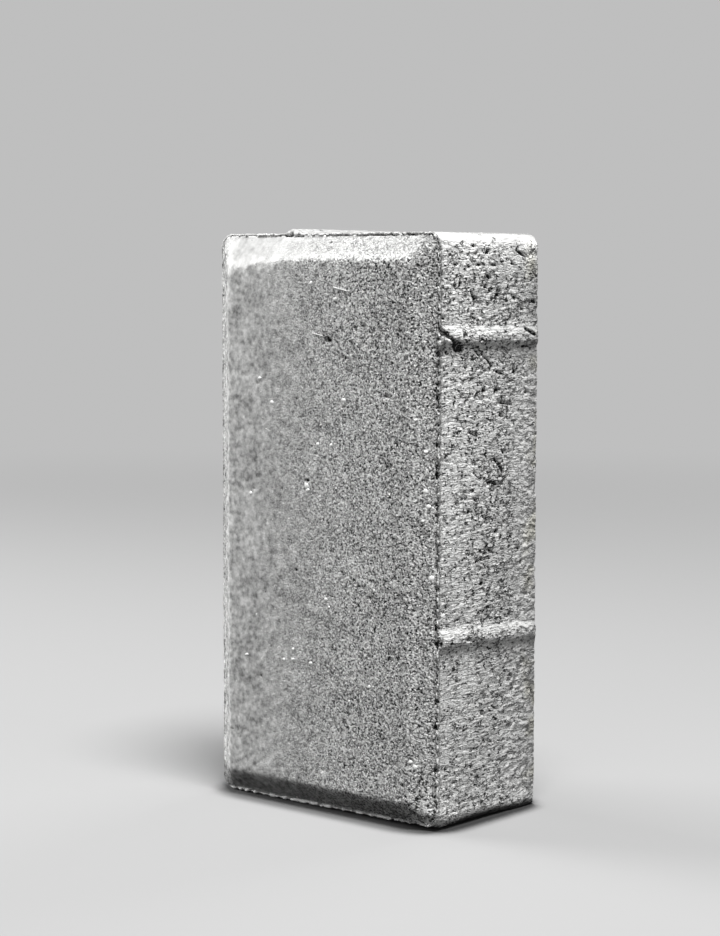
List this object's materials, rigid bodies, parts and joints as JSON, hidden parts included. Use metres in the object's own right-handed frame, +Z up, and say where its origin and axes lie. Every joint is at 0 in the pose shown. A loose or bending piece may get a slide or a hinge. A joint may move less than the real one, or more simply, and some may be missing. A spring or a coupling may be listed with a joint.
{
  "type": "concrete paving block",
  "caption": "Rectangular pressed concrete paver with a chamfered wear face, rounded short corners and low spacer nibs.",
  "frame": {"origin": "centre of the short end that the block stands on, midway across its width and its thickness", "axes": "+Z up the block's length, +X across its width towards the side with two spacer nibs, +Y through its thickness from the chamfered wear face to the bed face"},
  "size_m": [0.1015, 0.06, 0.2015],
  "materials": {
    "concrete": "matt, granular grey concrete, fine on the wear face and open on the sides"
  },
  "bodies": {
    "root": {"paving_block": "concrete"}
  },
  "joints": []
}
